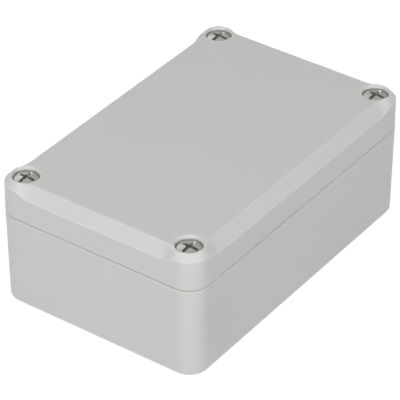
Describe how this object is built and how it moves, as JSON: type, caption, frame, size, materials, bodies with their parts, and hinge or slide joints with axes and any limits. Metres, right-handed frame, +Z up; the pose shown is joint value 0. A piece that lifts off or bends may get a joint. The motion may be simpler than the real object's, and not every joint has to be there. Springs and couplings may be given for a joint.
{
  "type": "abs enclosure",
  "caption": "Sealed wall-mounting plastic enclosure: deep base, lid with bevelled edges, rubber seal, captive corner screws in brass inserts.",
  "frame": {"origin": "centre of the underside of the base", "axes": "+X along the length, +Y across the width, +Z up to the lid"},
  "size_m": [0.098, 0.064, 0.038],
  "materials": {
    "housing_plastic": "matt moulded",
    "seal_rubber": "matt",
    "screw_steel": "turned stainless",
    "ring_rubber": "matt",
    "insert_brass": "turned"
  },
  "bodies": {
    "housing": {"base": "housing_plastic", "threaded_insert_1": "insert_brass", "threaded_insert_2": "insert_brass", "threaded_insert_3": "insert_brass", "threaded_insert_4": "insert_brass"},
    "cover": {"lid": "housing_plastic", "gasket": "seal_rubber"},
    "captive_1": {"retaining_ring_1": "ring_rubber"},
    "screw_1": {"lid_screw_1": "screw_steel"},
    "captive_2": {"retaining_ring_2": "ring_rubber"},
    "screw_2": {"lid_screw_2": "screw_steel"},
    "captive_3": {"retaining_ring_3": "ring_rubber"},
    "screw_3": {"lid_screw_3": "screw_steel"},
    "captive_4": {"retaining_ring_4": "ring_rubber"},
    "screw_4": {"lid_screw_4": "screw_steel"}
  },
  "joints": [
    {"name": "lid_lift", "type": "slide", "parent": "housing", "child": "cover", "axis": [0, 0, 1], "range_m": [0, 0.045]},
    {"name": "screw_1_rise", "type": "slide", "parent": "cover", "child": "captive_1", "axis": [0, 0, 1], "range_m": [0, 0.0056]},
    {"name": "screw_1_turn", "type": "hinge", "parent": "captive_1", "child": "screw_1", "pos_m": [-0.04315, -0.02615, 0.0349], "axis": [0, 0, 1], "range_deg": [0, 2880]},
    {"name": "screw_2_rise", "type": "slide", "parent": "cover", "child": "captive_2", "axis": [0, 0, 1], "range_m": [0, 0.0056]},
    {"name": "screw_2_turn", "type": "hinge", "parent": "captive_2", "child": "screw_2", "pos_m": [-0.04315, 0.02615, 0.0349], "axis": [0, 0, 1], "range_deg": [0, 2880]},
    {"name": "screw_3_rise", "type": "slide", "parent": "cover", "child": "captive_3", "axis": [0, 0, 1], "range_m": [0, 0.0056]},
    {"name": "screw_3_turn", "type": "hinge", "parent": "captive_3", "child": "screw_3", "pos_m": [0.04315, -0.02615, 0.0349], "axis": [0, 0, 1], "range_deg": [0, 2880]},
    {"name": "screw_4_rise", "type": "slide", "parent": "cover", "child": "captive_4", "axis": [0, 0, 1], "range_m": [0, 0.0056]},
    {"name": "screw_4_turn", "type": "hinge", "parent": "captive_4", "child": "screw_4", "pos_m": [0.04315, 0.02615, 0.0349], "axis": [0, 0, 1], "range_deg": [0, 2880]}
  ],
  "couplings": [
    {"joint": "screw_1_turn", "follows": "screw_1_rise", "rad_per_m": 8976},
    {"joint": "screw_2_turn", "follows": "screw_2_rise", "rad_per_m": 8976},
    {"joint": "screw_3_turn", "follows": "screw_3_rise", "rad_per_m": 8976},
    {"joint": "screw_4_turn", "follows": "screw_4_rise", "rad_per_m": 8976}
  ]
}
